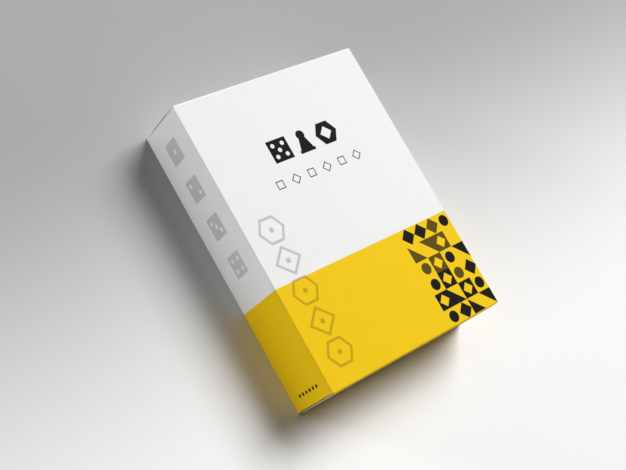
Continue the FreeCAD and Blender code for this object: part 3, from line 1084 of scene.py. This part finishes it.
# %% [markdown]
# The card decks
#
# A card has round corners, and every card's edge shows in the deck's side, with a hair line between one and
# the next. One card is drawn, a little thinner than its step, and the tree stacks it with a small slip both
# ways.

# %% Card decks
CARD_STEP = 0.3
CARD_GAP = 0.03
CARD_CORNER = 3.5
CARD_SLIP = 0.25
CARD_SEEDS = {"left": 3, "right": 8}
for hand, seed in CARD_SEEDS.items():
    node = f"card_deck_{hand}"
    low, high = reach(node)
    corners = [(low.x, low.y), (high.x, low.y), (high.x, high.y), (low.x, high.y)]
    outline = []
    for turn in range(4):
        outline += round_corner(corners[turn - 1], corners[turn], corners[(turn + 1) % 4], CARD_CORNER, 4)
    shell = plate(outline, CARD_STEP - CARD_GAP, lambda a, b, level: (a, b, low.z + level))
    count = round((high.z - low.z) / CARD_STEP)
    deck = stack(piece_from(shell, f"cards_{hand}", ()), card_paper, count,
                 step=(0, 0, CARD_STEP), slip=(CARD_SLIP, CARD_SLIP, 0), seed=seed)
    settle(deck, "sleeve", "card_stock", node)

# %% [markdown]
# The rule booklet's paper
#
# The booklet is silk-coated paper, smooth with a slight sheen. A plain yellow band runs across its front.
# It is inked where the surface is at the booklet's top, so the leaves inside stay white with the same
# finish.

# %% Silk paper
BAND_Y, BAND_HALF = 40.0, 26.0
TOP_SKIN = 0.06
booklet_low, booklet_high = reach("rule_booklet")
silk_paper, point, (_, y, z) = start_finish("silk_paper")
band = ink(abs(y - BAND_Y) - BAND_HALF) * z.above(booklet_high.z - TOP_SKIN)
wash = grain(point, 12.0)
tint = band.mix(tone(240, 239, 235), tone(243, 202, 32))
tint = (wash.ramp(0.3, 0.8) * 0.05).mix(tint, tone(120, 116, 108))
end_finish(silk_paper, tint, 0.45 + wash * 0.1, grain(point, 0.5), lift=0.006)

# %% [markdown]
# The rule booklet's sheets
#
# A booklet is folded sheets. Its cover is a strip with a round back, as the outermost sheet has. Inside it
# only the leaves' edges are seen, so each leaf is a plain plate, trimmed a little inside the cover and
# stacked by the tree.

# %% Cover and leaves of the booklet
COVER_PAPER = 0.2
LEAF_PAPER = 0.1
LEAF_LIFT = 0.01
LEAF_TRIM, FORE_TRIM = 0.5, 0.6
LEAF_SLIP, LEAF_SEED = 0.2, 5
LEAVES = 10
thick = booklet_high.z - booklet_low.z
spine = (booklet_low.x + thick / 2, (booklet_low.z + booklet_high.z) / 2)


def jacket_line(inset):
    """One line of the cover's section, round the back from edge to edge."""
    edge = booklet_high.x
    return [(edge, booklet_high.z - inset), *arc(spine, thick / 2 - inset, 90, 270, 10),
            (edge, booklet_low.z + inset)]


shell = strip(jacket_line(0.0), jacket_line(COVER_PAPER), booklet_low.y, booklet_high.y, along_y)
jacket = piece_from(shell, "booklet_cover", (silk_paper,) * 3)
settle(jacket, "sleeve", "booklet_paper", "rule_booklet")

leaf_level = booklet_low.z + COVER_PAPER + LEAF_LIFT
leaf_step = (thick - 2 * COVER_PAPER) / LEAVES
foot, head = booklet_low.y + LEAF_TRIM, booklet_high.y - LEAF_TRIM
fore = booklet_high.x - FORE_TRIM
outline = [(spine[0], foot), (fore, foot), (fore, head), (spine[0], head)]
shell = plate(outline, LEAF_PAPER, lambda a, b, level: (a, b, leaf_level + level))
leaves = stack(piece_from(shell, "booklet_leaves", ()), silk_paper, LEAVES,
               step=(0, 0, leaf_step), slip=(LEAF_SLIP, LEAF_SLIP, 0), seed=LEAF_SEED)
settle(leaves, "sleeve", "booklet_paper")

# %% [markdown]
# The booklet's staples
#
# Two wire staples hold the sheets at the fold, and only their backs show. A staple's back is a short round
# wire, so it is a plate with a round outline and the staple's length as its thickness.

# %% Staples
WIRE = 0.25
WIRE_PROUD = 0.05
STAPLE = 12.0
STAPLES_APART = 120.0
steel, point, _ = start_finish("staple_wire")
draw = grain(point, (0.3, 4.0, 0.3))
tint = draw.ramp(0.3, 0.7).mix(tone(150, 150, 152), tone(196, 196, 198))
end_finish(steel, tint, 0.28 + draw * 0.2, draw, lift=0.004, Metallic=1.0)

staple_start = -(STAPLES_APART + STAPLE) / 2
wire = arc((booklet_low.x + WIRE - WIRE_PROUD, spine[1]), WIRE, 180, -180)[:-1]
shell = plate(wire, STAPLE, lambda a, b, level: (a, staple_start + level, b))
staples = stack(piece_from(shell, "booklet_staples", ()), steel, 2,
                step=(0, STAPLES_APART, 0), slip=(0, 0, 0), seed=0)
settle(staples, "sleeve", "booklet_paper")

# %% [markdown]
# The pawns
#
# The pawns are turned beech under coloured lacquer, with the grain just showing and a pale rub on the foot.
# Their solids are kept. Four finishes could colour them, but they are one node, so the place in the row
# picks the colour.

# %% Lacquered pawns
PAINTS = (tone(236, 190, 24), tone(36, 35, 34), tone(234, 231, 222), tone(120, 104, 28))
FOOT_RUB = (0.1, 1.2)
lacquer, point, (_, y, z) = start_finish("pawn_lacquer")
low, high = reach("pawns")
share = (high.y - low.y) / len(PAINTS)
colour = PAINTS[0]
for count, paint in enumerate(PAINTS[1:], start=1):
    colour = y.above(low.y + count * share).mix(colour, paint)
wood = grain(point, (0.6, 0.6, 7.0))
colour = (wood.ramp(0.45, 0.7) * 0.18).mix(colour, tone(140, 104, 62))
foot_rub = (1 - (z - low.z).ramp(*FOOT_RUB)) * grain(point, 1.5).ramp(0.45, 0.65)
colour = (foot_rub * 0.5).mix(colour, tone(206, 172, 122))
end_finish(lacquer, colour, 0.22 + wood * 0.15 + foot_rub * 0.3, wood, lift=0.02, Coat_Weight=0.3)
dress(lacquer, "pawns")

# %% [markdown]
# The dice
#
# The dice are polished, and their hollow pips are filled with paint. Their solids have the pips already.
# They could be picked face by face, but a point that is below a die's faces and away from its edges can
# only be in a pip, so a formula finds them all.

# %% Polished dice
PIP_EDGE = 5.7
PIP_SINK = 0.03
die_polish, point, (x, y, z) = start_finish("die_polish")
low, high = reach("dice")
half = (high.x - low.x) / 2
middle = (low + high) / 2
across = abs(x - middle.x)
along = abs(abs(y - middle.y) - (high.y - low.y) / 2 + half)
height = abs(z - middle.z)
largest = across.most(along).most(height)
second = across.least(along).most(across.most(along).least(height))
pip = (half - largest).above(PIP_SINK) * (PIP_EDGE - second).above(0.0)
cloud = grain(point, 3.0)
colour = cloud.ramp(0.3, 0.7).mix(tone(232, 228, 214), tone(242, 239, 230))
colour = pip.mix(colour, tone(26, 25, 24))
end_finish(die_polish, colour, 0.12 + cloud * 0.06 + pip * 0.3, cloud, lift=0.004, Coat_Weight=0.2)
dress(die_polish, "dice")

# %% [markdown]
# The floor
#
# The box lies on pale paper whose colour is painted greyer towards the top of the picture, a painted falloff
# of the light. Far off it fades into the plain backdrop, as a studio's paper sweep does, so a low view has no
# horizon. A curved sheet could do the same, but it would stand in the way of a view from behind.

# %% Paper floor
BACKDROP = (0.45, 0.45, 0.45, 1)
FADE = (1200.0, 3500.0)
PAINTED_FALLOFF = (-170.0, 190.0)
FLOOR_HALF_M = 40
floor_paper, point, (x, y, _) = start_finish("floor_paper")
# Painted light falloff: the paper's colour runs from white at -y to grey at +y.
tint = (-y).ramp(*PAINTED_FALLOFF).mix(tone(168, 168, 168), tone(252, 252, 252))
end_finish(floor_paper, tint, 0.9 + grain(point, 2.0) * 0.05)
net = floor_paper.node_tree
paper = Wire(net, net.nodes["Principled BSDF"].outputs["BSDF"])
backdrop = point.add("ShaderNodeEmission", inputs={"Color": BACKDROP, "Strength": 1.0})
far_off = disc(x, y, 0.0).ramp(*FADE)
faded = point.add("ShaderNodeMixShader", inputs={"Fac": far_off, "Shader": paper, "Shader_001": backdrop})
net.links.new(faded.socket, net.nodes["Material Output"].inputs["Surface"])

corners = [(-1, -1), (1, -1), (1, 1), (-1, 1)]
mesh = bpy.data.meshes.new("floor")
mesh.from_pydata([(a * FLOOR_HALF_M, b * FLOOR_HALF_M, 0) for a, b in corners], [], [(0, 1, 2, 3)])
mesh.materials.append(floor_paper)
floor = bpy.data.objects.new("floor", mesh)
bpy.context.scene.collection.objects.link(floor)

# %% [markdown]
# The lamps
#
# A wide lamp hangs far beyond the top right of the box, so a soft shadow falls to the left and below. A
# small lamp just above the floor lights the left side and leaves the shadow dark, because its light only
# grazes the floor. Area lamps are used because their size sets how soft a shadow is.

# %% Lamps
LAMP_AIM = Vector((0, 0, 0.03))


def soft_lamp(name, place, power, size):
    """A square lamp that faces the middle of the box."""
    data = bpy.data.lights.new(name, "AREA")
    data.energy = power
    data.size = size
    lamp = bpy.data.objects.new(name, data)
    lamp.location = place
    lamp.visible_camera = False
    lamp.rotation_euler = (LAMP_AIM - Vector(place)).to_track_quat("-Z", "Y").to_euler()
    bpy.context.scene.collection.objects.link(lamp)
    print(f"{name}: {power:.0f} W, {size} m wide, {Vector(place).length:.1f} m off")


soft_lamp("key_lamp", place=(5.1, 2.8, 6.8), power=1010.0, size=5.0)
soft_lamp("side_lamp", place=(-1.9, 1.55, 0.28), power=24.0, size=0.35)

# %% [markdown]
# The sky
#
# The rest of the light is a faint even sky, as a white room gives. The camera and anything shiny should see
# the plain backdrop in its place, so the world's colour asks what kind of ray has reached it.

# %% Sky and view
SKY = (0.06, 0.06, 0.06, 1)
world = bpy.data.worlds.new("studio")
world.use_nodes = True
bpy.context.scene.world = world
base = Wire(world.node_tree)
seen, glossy, through = (base.add("ShaderNodeLightPath", result=f"Is {kind} Ray")
                         for kind in ("Camera", "Glossy", "Transmission"))
light = seen.most(glossy).most(through).mix(SKY, BACKDROP)
world.node_tree.links.new(light.socket, world.node_tree.nodes["Background"].inputs["Color"])
bpy.context.scene.view_settings.view_transform = "Standard"
print(f"sky {SKY[0]}, backdrop {BACKDROP[0]}")
